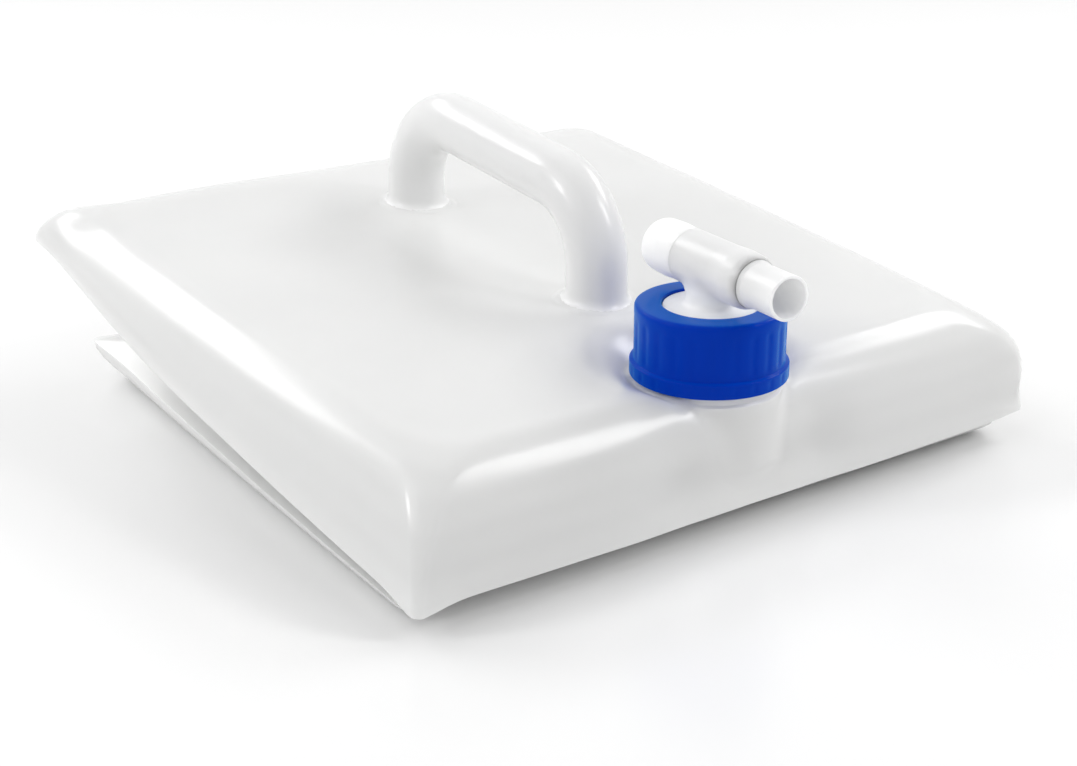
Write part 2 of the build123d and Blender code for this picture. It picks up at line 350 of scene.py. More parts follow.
def waist_loop(side, wall=0.0):
    """The upper (1) or lower (-1) edge of the waist."""
    flat = film_loop(WAIST_CORNERS, LOWER_BOWS, wall, WAIST_RADIUS)
    return in_layer(flat, WAIST_HEIGHT, WAIST_TILT, side * (WAIST_BAND / 2 + wall))


def between(start, end, steps):
    """Loops from one loop to another, both left out."""
    return [start * (1 - step / steps) + end * (step / steps) for step in range(1, steps)]


print("panel", PANEL_HEIGHT, "mm up, seams at", SEAM_HEIGHT, "and", LOWER_HEIGHT, "mm")

# %% [markdown]
# Film that has been folded by hand is never quite regular. Its corners are pulled into thin ears, the
# long edges sag between them, and the turn at a corner carries small creases. Each such place is a
# nudge: a shift that is strongest at one point and fades out smoothly around it.

# %% Slack, ears and creases


def nudged(points, nudges):
    """Points shifted by each (centre, reach, shift), all in millimetres."""
    moved = points.copy()
    for centre, reach, shift in nudges:
        away = (points - np.array(centre, float)) / np.array(reach, float)
        moved += np.exp(-(away ** 2).sum(axis=1))[:, None] * np.array(shift, float)
    return moved


def rippled(points, size):
    """A very slight unevenness of the film, so that reflections waver a little."""
    x, y, z = points.T
    wave = (
        np.sin(x / 17 + 1.3 * np.sin(y / 31)) * np.sin(y / 23 + 0.7 + np.sin(x / 41))
        + 0.6 * np.sin((x + y) / 12.5 + 2.1) * np.sin((x - y) / 19 + z / 15)
    )
    moved = points.copy()
    moved[:, 2] += size * wave
    return moved


UPPER_NUDGES = [
    ((-121, 117, 54), (13, 13, 9), (-0.8, 0.8, -1.2)),     # the ear at the back left
    ((-111, 106, 60), (12, 12, 9), (-1.0, 1.0, 2.2)),      # the shoulder beside it stays full
    ((-70, 112, 64), (50, 26, 9), (0, 0, 2.2)),            # the panel's edge rises beside it
    ((-120, 30, 37), (12, 60, 10), (0, 0, -1.5)),          # the left edge sags in the middle
    ((121, -119, 8), (14, 14, 8), (0.3, -1.0, 1.0)),       # the ear at the front right
    ((114, -112, 26), (13, 13, 13), (4.5, -0.5, 2.5)),     # the film puffs out over it
    ((117, -121, 14), (5, 5, 5), (-1.2, 1.6, 0.0)),        # and is dimpled just above the seam
    ((-119, -119, 9), (9, 9, 9), (-0.8, -1.2, -1.6)),      # the front corner, pinched down
    ((-27, -122, 22), (13, 12, 11), (0, 2.6, 0)),          # drawn in on both sides of the boss
    ((27, -122, 22), (13, 12, 11), (0, 2.6, 0)),
    ((0, -122, 20), (16, 10, 10), (0, 2.6, 0)),            # and below it
]
LOWER_NUDGES = [
    ((-104, 115, 13), (16, 16, 8), (-2.0, 1.5, 1.0)),      # the lower ear, pulled out a little
    ((108, 110, 12), (14, 14, 8), (2.5, 2.5, 1.0)),
]

print(len(UPPER_NUDGES) + len(LOWER_NUDGES), "nudges")

# %% [markdown]
# The ring reaches down below the level of the panel, so the film has to make room for it. The
# photograph shows no clear seat there, so it is kept small. The film's points are held under a cone that
# opens upwards, with a soft change from the cone to the panel.

# %% The dish around the neck
DISH_FLOOR, DISH_RADIUS, DISH_SLOPE, DISH_BLEND = 41.9, 25.2, 0.7, 4.0


def dished(points, wall=0.0):
    """The shoulder is pressed in around the neck so that the ring can reach its seat."""
    moved = points.copy()
    radius = np.hypot(points[:, 0] - NECK.x, points[:, 1] - NECK.y)
    limit = DISH_FLOOR - wall + np.maximum(radius - DISH_RADIUS, 0) * DISH_SLOPE
    z = points[:, 2]
    mix = np.clip(0.5 + 0.5 * (limit - z) / DISH_BLEND, 0, 1)
    moved[:, 2] = limit * (1 - mix) + z * mix - DISH_BLEND * mix * (1 - mix)
    return moved


# %% [markdown]
# The panel could be one large face, but a boolean with the handle would then leave long thin triangles
# that shade badly. Many small triangles, finer where something grows out, keep the light smooth.

# %% Filling a loop with small triangles


def filled(loop, height_at, coarse, fine, fine_places):
    """Points and triangles inside a loop. fine_places are (x, y, radius) where the handle and neck grow."""
    rim = [Vector(p[:2]) for p in loop]
    low, high = loop.min(axis=0), loop.max(axis=0)
    extra = []

    def spread(step, wanted):
        row = 0
        y = low[1] + step / 2
        while y < high[1]:
            x = low[0] + step / 2 + (step / 2 if row % 2 else 0)
            while x < high[0]:
                if wanted(x, y):
                    extra.append(Vector((x, y)))
                x += step
            y += step * 0.866
            row += 1

    def in_fine(x, y, margin=0.0):
        return any(math.hypot(x - px, y - py) < radius + margin for px, py, radius in fine_places)

    spread(coarse, lambda x, y: not in_fine(x, y, coarse * 0.4))
    if fine_places:
        spread(fine, in_fine)
    rim_array = loop[:, :2]
    kept = []
    for point in extra:
        gap = np.hypot(rim_array[:, 0] - point.x, rim_array[:, 1] - point.y).min()
        if gap > (fine if in_fine(point.x, point.y) else coarse) * 0.55:
            kept.append(point)
    edges = [(i, (i + 1) % len(rim)) for i in range(len(rim))]
    flat, _, faces, origins, _, _ = delaunay_2d_cdt(rim + kept, edges, [list(range(len(rim)))], 1, 1e-6)
    source = [o[0] for o in origins]
    points = np.array([
        loop[s] if s < len(rim) else (p.x, p.y, height_at(p.x, p.y)) for p, s in zip(flat, source)
    ])
    return points, [tuple(f) for f in faces], source


def panel_height_at(x, y):
    """The flat panel's height."""
    return PANEL_HEIGHT + (y - MIDDLE_Y) * math.tan(math.radians(PANEL_TILT))


print("fills ready")

# %% [markdown]
# The skin is made twice with the same function: once as the outside, and once as a coarser inside that
# lies one wall further in. Taking one from the other leaves a film of even thickness.

# %% The film's skin
FINE_PLACES = [(0, -44, 21), (0, 60, 21), (0, -98.8, 48)]


def film_skin(name, wall, steps_shoulder, steps_fold, coarse, fine, ripple):
    """The closed skin of the bag: its outside, or with a wall the inside of the film."""
    shoulder = [shoulder_loop(90 * s / steps_shoulder, wall) for s in range(steps_shoulder, -1, -1)]
    seam = shoulder[-1]
    waist_top, waist_low = waist_loop(1, wall), waist_loop(-1, wall)
    underside = [base_loop(90 * s / BASE_STEPS, wall) for s in range(BASE_STEPS + 1)]
    upper = shoulder[:-1]
    if wall == 0:
        drop = np.array((0, 0, SEAM_ROUND))
        inward = (waist_top - seam) / np.linalg.norm(waist_top - seam, axis=1)[:, None]
        upper += [
            seam + drop,
            seam + drop * 0.25 + inward * 0.12,
            seam + inward * SEAM_ROUND * 1.2,
        ]
    else:
        upper += [seam]
    fold = between(upper[-1], waist_top, steps_fold) + [waist_top]
    fold += between(waist_top, waist_low, 3) + [waist_low]
    lower = between(waist_low, underside[0], steps_fold) + underside
    upper = [rippled(nudged(loop, UPPER_NUDGES), ripple) for loop in upper]
    fold = [
        nudged(loop, UPPER_NUDGES + LOWER_NUDGES) for loop in fold
    ]
    lower = [nudged(loop, LOWER_NUDGES) if i < len(lower) - 1 else loop for i, loop in enumerate(lower)]
    loops = upper + fold + lower
    loops[:len(upper)] = [dished(loop, wall) if i < steps_shoulder else loop for i, loop in enumerate(upper)]
    points = np.vstack(loops)
    count = LOOP_POINTS
    faces = []
    for i in range(len(loops) - 1):
        faces += band(i * count, (i + 1) * count, count)
    for index, fill_fine, low in ((0, FINE_PLACES, False), (len(loops) - 1, [], True)):
        flat_z = loops[index][0, 2]
        height_at = (lambda x, y: flat_z) if low else panel_height_at
        step = coarse * 3 if low else coarse
        inner, triangles, source = filled(loops[index], height_at, step, fine, fill_fine)
        if not low:
            inner_only = rippled(nudged(inner, UPPER_NUDGES), ripple)
            inner_only[:, 2] -= wall
            inner = dished(inner_only, wall)
        base = len(points)
        new = {}
        added = []
        for i, s in enumerate(source):
            if s < count:
                new[i] = index * count + s
            else:
                new[i] = base + len(added)
                added.append(inner[i])
        points = np.vstack([points, np.array(added)])
        faces += [tuple(new[v] for v in f) for f in triangles]
    return outward(mesh_object(name, points, faces))


FILM_WALL = 1.0
COARSE, FINE, RIPPLE = 4.2, 1.5, 0.10
film_shell = film_skin("film_shell", 0.0, SHOULDER_STEPS, FOLD_STEPS, COARSE, FINE, RIPPLE)
film_hollow = film_skin("film_hollow", FILM_WALL, 6, 3, 9.0, 5.0, 0.0)
print("skin", len(film_shell.data.polygons), "faces, hollow", len(film_hollow.data.polygons))

# %% [markdown]
# ## Handle, boss and neck
# They are blown from the same film, so they are part of the one shell. The handle is a round tube on an
# arched path. The boss under the neck is turned on a lathe, with the small ledge that stops the ring,
# and the neck carries a thread of one start that rises 5 mm in a turn.

# %% Handle
HANDLE_RADIUS, HANDLE_BEND, HANDLE_FRONT, HANDLE_BACK = 10.0, 25.0, -44.0, 60.0
HANDLE_RISE, HANDLE_TILT = 35.0, 6.5
FOOT_DEPTH = 6.0


def handle_path():
    """The tube's middle line in the plane x = 0, as (y, z), with round bends."""
    middle = (HANDLE_FRONT + HANDLE_BACK) / 2
    slope = math.tan(math.radians(HANDLE_TILT))
    top = panel_height_at(0, middle) + HANDLE_RISE
    corners = [
        Vector((HANDLE_BACK, panel_height_at(0, HANDLE_BACK) - FOOT_DEPTH)),
        Vector((HANDLE_BACK, top + (HANDLE_BACK - middle) * slope)),
        Vector((HANDLE_FRONT, top + (HANDLE_FRONT - middle) * slope)),
        Vector((HANDLE_FRONT, panel_height_at(0, HANDLE_FRONT) - FOOT_DEPTH)),
    ]
    line = [corners[0]]
    for before, corner, after in zip(corners, corners[1:], corners[2:]):
        a, b = (before - corner).normalized(), (after - corner).normalized()
        reach = HANDLE_BEND / math.tan(a.angle(b) / 2)
        centre = corner + (a + b).normalized() * (HANDLE_BEND / math.sin(a.angle(b) / 2))
        start, end = corner + a * reach, corner + b * reach
        first, last = start - centre, end - centre
        swing = first.angle_signed(last)
        for step in range(17):
            turn = -swing * step / 16
            line.append(centre + Vector((
                first.x * math.cos(turn) - first.y * math.sin(turn),
                first.x * math.sin(turn) + first.y * math.cos(turn),
            )))
    line.append(corners[-1])
    fine = [line[0]]
    for here, there in zip(line, line[1:]):
        cuts = max(1, math.ceil((there - here).length / 2.2))
        fine += [here.lerp(there, cut / cuts) for cut in range(1, cuts + 1)]
    return fine


def handle_tube(name, radius, around):
    """The tube as a closed mesh."""
    line = handle_path()
    points, faces = [], []
    for i, here in enumerate(line):
        along = (line[min(i + 1, len(line) - 1)] - line[max(i - 1, 0)]).normalized()
        side = Vector((-along.y, along.x))
        for step in range(around):
            angle = 2 * math.pi * step / around
            across, up = radius * math.cos(angle), radius * math.sin(angle)
            points.append((across, here.x + side.x * up, here.y + side.y * up))
    for i in range(len(line) - 1):
        faces += band(i * around, (i + 1) * around, around)
    faces += [tuple(range(around)), tuple(range((len(line) - 1) * around, len(line) * around))]
    return outward(mesh_object(name, points, faces))


handle = handle_tube("handle", HANDLE_RADIUS, 56)
handle_hollow = handle_tube("handle_hollow", HANDLE_RADIUS - FILM_WALL, 32)
print("handle", len(handle.data.polygons), "faces")

# %% Boss and neck with its thread
BOSS_RADIUS, BOSS_TOP = 22.2, 42.5
NECK_RADIUS, NECK_BORE, NECK_RIM = 17.6, 14.6, 58.4
THREAD_PITCH, THREAD_DEPTH, THREAD_WIDTH = 5.0, 1.1, 1.5
THREAD_LOW, NECK_THREAD_HIGH, RING_THREAD_HIGH = 44.5, 57.4, 57.0
NECK_PHASE, RING_PHASE = 0.0, 0.5
HANDLE_FILLET, BOSS_FILLET = 4.0, 2.5


def thread_ridge(angle, height, low, high, phase):
    """How high a one-start thread stands at this angle and height, from 0 to 1."""
    along = (height / THREAD_PITCH - angle / (2 * math.pi) + phase) % 1.0
    across = abs(along - 0.5) * THREAD_PITCH
    shape = min(1.0, max(0.0, (THREAD_WIDTH - across) / 0.7))
    fade = min(1.0, max(0.0, (height - low) / 1.2)) * min(1.0, max(0.0, (high - height) / 1.2))
    return shape * fade


def neck_thread(angle, radius, height):
    """Thread on the neck's outside."""
    if abs(radius - NECK_RADIUS) > 0.3:
        return 0.0
    return THREAD_DEPTH * thread_ridge(angle, height, THREAD_LOW, NECK_THREAD_HIGH, NECK_PHASE)


boss_profile = rounded(
    [(ON_AXIS, 12.5), (20.0, 12.5), (BOSS_RADIUS, 19.0), (BOSS_RADIUS, 39.5), (21.5, 40.2),
     (21.5, BOSS_TOP), (NECK_RADIUS, BOSS_TOP), (NECK_RADIUS, NECK_RIM), (ON_AXIS, NECK_RIM)],
    [0, 3.5, 5, 0.5, 0.3, 0.5, 0.5, 0.7, 0], longest=0.9,
)
boss = lathe("boss", boss_profile, 144, Matrix.Translation(NECK), neck_thread)
bore_profile = rounded(
    [(ON_AXIS, 14.5), (19.0, 14.5), (BOSS_RADIUS - FILM_WALL, 19.0), (BOSS_RADIUS - FILM_WALL, 38.5),
     (NECK_BORE, 40.5), (NECK_BORE, 60.0), (ON_AXIS, 60.0)],
    [0, 2, 3, 1.5, 0.5, 0, 0], longest=4.0,
)
bore = lathe("bore", bore_profile, 72, Matrix.Translation(NECK))
print("boss", len(boss.data.polygons), "faces")

# %% [markdown]
# The order matters: the outsides are united and rounded first, then the united hollows are taken out,
# so that the handle and the neck open into the bag as they do in the blown piece.

# %% One shell: outsides united, hollows taken out
skin_tree, handle_tree, boss_tree = surface_of(film_shell), surface_of(handle), surface_of(boss)
combine(film_shell, handle, "UNION")
combine(film_shell, boss, "UNION")
fillet_union(film_shell, skin_tree, handle_tree, HANDLE_FILLET, 1.3)
fillet_union(film_shell, skin_tree, boss_tree, BOSS_FILLET, 1.1)
combine(film_hollow, handle_hollow, "UNION")
combine(film_hollow, bore, "UNION")
combine(film_shell, film_hollow, "DIFFERENCE")
film_shell.data.shade_smooth()
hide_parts("container_body")
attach(film_shell, "container")
print("film shell", len(film_shell.data.polygons), "faces")

# %% [markdown]
# The handle is given a whiter copy of the film's material. That whiteness is painted light: it stands for the
# light that comes through the hollow tube, whose wall is as thin as the film's. At each foot there is a
# slightly raised and uneven line, where a mould pinches the film. The faces of the handle are noted here, so
# that they can get a whiter material of their own.

# %% The handle's faces and the line at its feet


def points_of(piece):
    """A mesh's points as an array, in millimetres."""
    flat = np.empty(len(piece.data.vertices) * 3, dtype=np.float32)
    piece.data.vertices.foreach_get("co", flat)
    return flat.reshape(-1, 3) / MM


FOOT_LINE, FOOT_LINE_WIDTH, FOOT_LINE_RISE = 12.6, 0.9, 0.45
FOOT_LINE_BAND = 4.0
HANDLE_REACH, HANDLE_START = 12.4, 0.6
shell_points = points_of(film_shell)
path_points = np.array([(0, p.x, p.y) for p in handle_path()], dtype=np.float32)
from_path = np.min([np.linalg.norm(shell_points - p, axis=1) for p in path_points], axis=0)
above = shell_points[:, 2] - panel_height_at(0, shell_points[:, 1])
# Points on the handle: their faces get the whiter material, which is painted light.
handle_lit_points = (from_path < HANDLE_REACH) & (above > HANDLE_START)
foot_line = np.zeros(len(shell_points))
for foot_y in (HANDLE_FRONT, HANDLE_BACK):
    dx, dy = shell_points[:, 0], shell_points[:, 1] - foot_y
    angle = np.arctan2(dy, dx)
    wander = 0.5 * np.sin(3 * angle + foot_y) + 0.35 * np.sin(7 * angle + 1.0)
    off = (np.hypot(dx, dy) - FOOT_LINE - wander) / FOOT_LINE_WIDTH
    strength = 0.55 + 0.45 * np.sin(5 * angle + 0.4 * foot_y)
    foot_line += np.exp(-off ** 2) * strength * (np.abs(above) < FOOT_LINE_BAND)
film_shell.data.vertices.foreach_set("co", (
    (shell_points + foot_line[:, None] * np.array((0, 0, FOOT_LINE_RISE))) * MM
).astype(np.float32).ravel())
film_shell.data.update()
handle_faces = [all(handle_lit_points[v] for v in polygon.vertices) for polygon in film_shell.data.polygons]
print("handle faces", sum(handle_faces), "foot line points", int((foot_line > 0.5).sum()))

# %% [markdown]
# ## The screw ring
# A moulded ring with shallow grips, a plain band at its foot and an inward lip that holds the tap down.
# Its corners are all slightly round, which is what catches the thin bright lines in the light. The
# thread inside lies half a pitch from the neck's, so the two stay clear of each other as it turns.

# %% Screw ring
RING_LOW, RING_TOP, RING_BAND_TOP = 42.8, 64.8, 47.3
RING_RADIUS, RING_BAND_RADIUS, RING_BORE, RING_HOLE = 22.8, 24.0, 19.4, 14.7
RING_LIP = 62.6
GRIPS, GRIP_DEPTH, GRIP_LOW, GRIP_HIGH = 24, 0.24, 48.2, 61.5
TICK_DEPTH, TICK_LOW, TICK_HIGH = 0.18, 43.4, 46.4


def ring_surface(angle, radius, height):
    """Grips outside, thread inside."""
    wave = 0.5 - 0.5 * math.cos(GRIPS * angle)
    if radius > RING_RADIUS - 0.8 and GRIP_LOW < height < GRIP_HIGH:
        fade = min(1.0, (height - GRIP_LOW) / 1.2, (GRIP_HIGH - height) / 1.5)
        return -GRIP_DEPTH * fade * wave ** 2
    if radius > RING_BAND_RADIUS - 0.8 and TICK_LOW < height < TICK_HIGH:
        return -TICK_DEPTH * wave ** 4
    if abs(radius - RING_BORE) < 0.2:
        return -THREAD_DEPTH * thread_ridge(angle, height, THREAD_LOW, RING_THREAD_HIGH, RING_PHASE)
    return 0.0


ring_profile = rounded(
    [(RING_BORE, RING_LOW), (RING_BAND_RADIUS, RING_LOW), (RING_BAND_RADIUS, RING_BAND_TOP),
     (RING_RADIUS, RING_BAND_TOP + 0.4), (RING_RADIUS, RING_TOP), (RING_HOLE, RING_TOP),
     (RING_HOLE, RING_LIP), (RING_BORE, RING_LIP)],
    [0.3, 0.5, 0.45, 0.3, 1.5, 0.6, 0.3, 0.3], steps=5, longest=0.9,
)
screw_ring = lathe("cap_ring", ring_profile, 288, Matrix.Translation(NECK), ring_surface)
screw_ring.data.shade_smooth()
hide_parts("screw_ring")
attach(screw_ring, "ring")
print("ring", len(screw_ring.data.polygons), "faces")

# %% [markdown]
# ## The tap
# The tap's body is one moulding: a spigot and flange under the ring's lip, a crown that fills the
# ring's hole, a stem and a cross barrel. The stem flares into both. The key turns in the barrel: it has
# a fatter domed knob behind and is open in front.

# %% Tap body
TAP_HEADING = math.radians(-5.4)
BARREL_HEIGHT = 76.4
BARREL_BORE, STEM_BORE, PORT_BORE = 7.3, 4.0, 3.4
SPIGOT_RADIUS, FLANGE_RADIUS, CROWN_RADIUS = 7.5, 18.9, 14.35
SPIGOT_LOW, FLANGE_LOW, FLANGE_TOP, CROWN_TOP = 50.4, 60.4, 62.6, 64.3
BARREL_RADIUS, BARREL_BACK, COLLAR_RADIUS, COLLAR_END = 8.4, -10.3, 8.65, 21.3
STEM_FILLET = 4.0
tube_front = Vector((math.sin(TAP_HEADING), -math.cos(TAP_HEADING), 0))
across_tube = Vector((0, 0, 1)).cross(tube_front)
barrel_place = Matrix.Translation(NECK + Vector((0, 0, BARREL_HEIGHT))) @ Matrix(
    (across_tube, Vector((0, 0, 1)), tube_front)
).transposed().to_4x4()


def round_bar(radius, low, high):
    """The profile of a plain round bar, to drill with."""
    return [(ON_AXIS, low), (radius, low), (radius, high), (ON_AXIS, high)]


stem_profile = rounded(
    [(ON_AXIS, SPIGOT_LOW), (SPIGOT_RADIUS, SPIGOT_LOW), (SPIGOT_RADIUS, FLANGE_LOW),
     (FLANGE_RADIUS, FLANGE_LOW), (FLANGE_RADIUS, FLANGE_TOP), (CROWN_RADIUS, FLANGE_TOP),
     (CROWN_RADIUS, CROWN_TOP), (7.6, CROWN_TOP), (7.4, 68.6), (5.6, 73.0), (ON_AXIS, 73.0)],
    [0, 0.4, 0.5, 0.4, 0.4, 0.3, 0.5, 4.2, 1.0, 0.5, 0], steps=8, longest=0.8,
)
tap_body = lathe("tap_moulding", stem_profile, 120, Matrix.Translation(NECK))
barrel_profile = rounded(
    [(ON_AXIS, BARREL_BACK), (BARREL_RADIUS, BARREL_BACK), (8.35, 8.0), (COLLAR_RADIUS, 14.0),
     (8.4, 18.4), (BARREL_BORE + 0.1, COLLAR_END), (ON_AXIS, COLLAR_END)],
    [0, 0.12, 6, 6, 4.0, 0.1, 0], steps=6, longest=0.8,
)
barrel = lathe("barrel", barrel_profile, 120, barrel_place)
stem_tree, barrel_tree = surface_of(tap_body), surface_of(barrel)
combine(tap_body, barrel, "UNION")
fillet_union(tap_body, stem_tree, barrel_tree, STEM_FILLET, 0.9)
barrel_bore = lathe("barrel_bore", round_bar(BARREL_BORE, -14.0, 25.0), 120, barrel_place)
stem_bore = lathe("stem_bore", round_bar(STEM_BORE, 48.0, BARREL_HEIGHT), 64, Matrix.Translation(NECK))
combine(tap_body, barrel_bore, "DIFFERENCE")
combine(tap_body, stem_bore, "DIFFERENCE")
tap_body.data.shade_smooth()
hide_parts("tap_body")
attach(tap_body, "tap")
print("tap body", len(tap_body.data.polygons), "faces")

# %% [markdown]
# The key is one moulding too: a domed knob for the fingers, a bearing that fills the barrel, and the
# outlet tube. The bearing has a port in its side. At rest the port looks sideways and the tap is shut.
# Turned by 90 degrees, it looks down into the stem and the water runs.

# %% Tap key
KNOB_END, KNOB_RADIUS, KNOB_START = -27.3, 8.6, -10.45
BEARING_RADIUS, BEARING_END = 7.25, 21.5
TUBE_RADIUS, TUBE_BORE, TUBE_END, TUBE_FLOOR = 6.75, 5.8, 36.6, -7.3
key_profile = rounded(
    [(ON_AXIS, KNOB_END), (8.3, KNOB_END), (KNOB_RADIUS, -18.0), (8.3, -13.4), (8.4, KNOB_START),
     (BEARING_RADIUS, KNOB_START), (BEARING_RADIUS, BEARING_END), (TUBE_RADIUS, 22.6),
     (TUBE_RADIUS, TUBE_END), (TUBE_BORE, TUBE_END), (TUBE_BORE, TUBE_FLOOR), (ON_AXIS, TUBE_FLOOR)],
    [0, 5.5, 6, 4, 0.12, 0, 0.4, 1.0, 0.2, 0.15, 0.5, 0], steps=8, longest=1.0,
)
tap_key = lathe("tap_key", key_profile, 120, barrel_place)
port_place = Matrix.Translation(NECK + Vector((0, 0, BARREL_HEIGHT))) @ (
    Vector((0, 0, 1)).rotation_difference(across_tube).to_matrix().to_4x4()
)
port = lathe("port", round_bar(PORT_BORE, 0.0, 8.0), 48, port_place)
combine(tap_key, port, "DIFFERENCE")
tap_key.data.shade_smooth()
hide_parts("tap_spout")
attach(tap_key, "spout")
print("tap key", len(tap_key.data.polygons), "faces")

# %% [markdown]
# ## Smooth shading with crisp edges
# The lathe gives every corner a real small radius, so the pieces can be shaded smooth. Where a boolean
# cut a sharp edge, the angle decides: edges steeper than 40 degrees stay crisp.

# %% Shading
CRISP_ANGLE = math.radians(40)
for piece in (film_shell, screw_ring, tap_body, tap_key):
    shape = bmesh.new()
    shape.from_mesh(piece.data)
    for edge in shape.edges:
        edge.smooth = len(edge.link_faces) != 2 or edge.calc_face_angle(0) < CRISP_ANGLE
    shape.to_mesh(piece.data)
    shape.free()
print("shaded")

# %% [markdown]
# ## Materials
# Blown polyethylene is glossy but not perfectly smooth: it has a faint orange-peel surface and a light
# haze from handling. Both are shared effects, so they are node groups that every plastic here uses with
# its own values. The film is milky: light goes a little way into it before it comes out again.

# %% Shared node groups


def new_group(name, inputs, outputs):
    """An empty shader node group with these (name, type, value) inputs and (name, type) outputs."""
    group = bpy.data.node_groups.new(name, "ShaderNodeTree")
    for label, kind, value in inputs:
        socket = group.interface.new_socket(name=label, in_out="INPUT", socket_type=kind)
        socket.default_value = value
    for label, kind in outputs:
        group.interface.new_socket(name=label, in_out="OUTPUT", socket_type=kind)
    return group, group.nodes.new("NodeGroupInput"), group.nodes.new("NodeGroupOutput")


def made_node(tree, kind, links=(), **values):
    """A node with its properties and inputs set: a plain key is a property, a link feeds an input."""
    node = tree.nodes.new(kind)
    for key, value in values.items():
        setattr(node, key, value)
    for socket, source in links:
        if isinstance(source, bpy.types.NodeSocket):
            tree.links.new(source, node.inputs[socket])
        else:
            node.inputs[socket].default_value = source
    return node


peel, peel_in, peel_out = new_group(
    "orange_peel",
    [("Scale", "NodeSocketFloat", 400.0), ("Strength", "NodeSocketFloat", 0.1),
     ("Distance", "NodeSocketFloat", 0.0004)],
    [("Normal", "NodeSocketVector")],
)
peel_place = made_node(peel, "ShaderNodeTexCoord")
peel_noise = made_node(peel, "ShaderNodeTexNoise", [
    ("Vector", peel_place.outputs["Object"]), ("Scale", peel_in.outputs["Scale"]), ("Detail", 3.0),
])
peel_bump = made_node(peel, "ShaderNodeBump", [
    ("Strength", peel_in.outputs["Strength"]), ("Distance", peel_in.outputs["Distance"]),
    ("Height", peel_noise.outputs["Fac"]),
])
peel.links.new(peel_bump.outputs["Normal"], peel_out.inputs["Normal"])

haze, haze_in, haze_out = new_group(
    "handling_haze",
    [("Scale", "NodeSocketFloat", 30.0), ("Gloss", "NodeSocketFloat", 0.2), ("Haze", "NodeSocketFloat", 0.3)],
    [("Roughness", "NodeSocketFloat"), ("Mask", "NodeSocketFloat")],
)
haze_place = made_node(haze, "ShaderNodeTexCoord")
haze_noise = made_node(haze, "ShaderNodeTexNoise", [
    ("Vector", haze_place.outputs["Object"]), ("Scale", haze_in.outputs["Scale"]), ("Detail", 5.0),
])
haze_mix = made_node(haze, "ShaderNodeMapRange", [
    ("Value", haze_noise.outputs["Fac"]), ("From Min", 0.2), ("From Max", 0.8),
    ("To Min", haze_in.outputs["Gloss"]), ("To Max", haze_in.outputs["Haze"]),
])
haze.links.new(haze_mix.outputs["Result"], haze_out.inputs["Roughness"])
haze.links.new(haze_noise.outputs["Fac"], haze_out.inputs["Mask"])
print("groups", peel.name, haze.name)

# %% [markdown]
# The film looks a little grey and the tap white. The handle's extra white is painted light: a lighter copy of
# the film's material, for the light that comes through the hollow tube. The ring is deep blue, with a lighter
# blue sheen where it is seen at a slant, which stands for the light that comes through its edges. Each
# plastic's roughness stays on one side of about 0.27: a range that crossed it left patches in the denoised
# picture.

# %% Plastic materials


def group_node(tree, group, **values):
    """A placed node group with its inputs set."""
    node = tree.nodes.new("ShaderNodeGroup")
    node.node_tree = group
    for key, value in values.items():
        node.inputs[key].default_value = value
    return node


def plastic(name, deep, pale, sockets, gloss, haze_value, peel_scale, peel_strength):
    """A moulded plastic whose colour drifts a little between two tones."""
    material = bpy.data.materials.new(name)
    material.use_nodes = True
    tree = material.node_tree
    shader = tree.nodes["Principled BSDF"]
    haze_node = group_node(tree, haze, Scale=28.0, Gloss=gloss, Haze=haze_value)
    peel_node = group_node(tree, peel, Scale=peel_scale, Strength=peel_strength)
    tint = made_node(tree, "ShaderNodeMix", [
        (0, haze_node.outputs["Mask"]), (6, (*deep, 1)), (7, (*pale, 1)),
    ], data_type="RGBA")
    tree.links.new(tint.outputs[2], shader.inputs["Base Color"])
    tree.links.new(haze_node.outputs["Roughness"], shader.inputs["Roughness"])
    tree.links.new(peel_node.outputs["Normal"], shader.inputs["Normal"])
    for key, value in sockets.items():
        shader.inputs[key].default_value = value
    return material


def milky(weight, depth):
    """Socket values for a plastic that light goes this many metres into."""
    return {
        "Subsurface Weight": weight, "Subsurface Radius": (depth, depth, depth), "Subsurface Scale": 1.0,
    }


film_material = plastic(
    "milky_film", (0.80, 0.805, 0.80), (0.83, 0.83, 0.82),
    {**milky(0.5, 0.005), "IOR": 1.5, "Coat Weight": 0.15, "Coat Roughness": 0.15},
    0.22, 0.27, 220.0, 0.05,
)
# A whiter copy of the film for the handle: painted light, for the light that comes through the hollow tube.
lighter_handle_material = plastic(
    "film_painted_lighter", (0.96, 0.965, 0.96), (0.985, 0.985, 0.98),
    {**milky(0.6, 0.005), "IOR": 1.5, "Coat Weight": 0.15, "Coat Roughness": 0.15},
    0.22, 0.27, 220.0, 0.05,
)
ring_material = plastic(
    "blue_ring", (0.0, 0.025, 0.38), (0.0, 0.035, 0.44),
    {"IOR": 1.12, "Sheen Weight": 0.55, "Sheen Roughness": 0.45, "Sheen Tint": (0.0, 0.5, 0.95, 1)},
    0.12, 0.2, 600.0, 0.05,
)
tap_material = plastic(
    "white_tap", (0.92, 0.93, 0.935), (0.95, 0.955, 0.955),
    {**milky(0.9, 0.004), "IOR": 1.48},
    0.28, 0.34, 600.0, 0.06,
)
washer_material = plastic(
    "pale_washer", (0.62, 0.61, 0.57), (0.68, 0.67, 0.63), {"IOR": 1.45}, 0.5, 0.6, 900.0, 0.1,
)
for piece, material in (
    (film_shell, film_material), (screw_ring, ring_material),
    (tap_body, tap_material), (tap_key, tap_material),
    (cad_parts["seal_washer"], washer_material),
):
    piece.data.materials.clear()
    piece.data.materials.append(material)
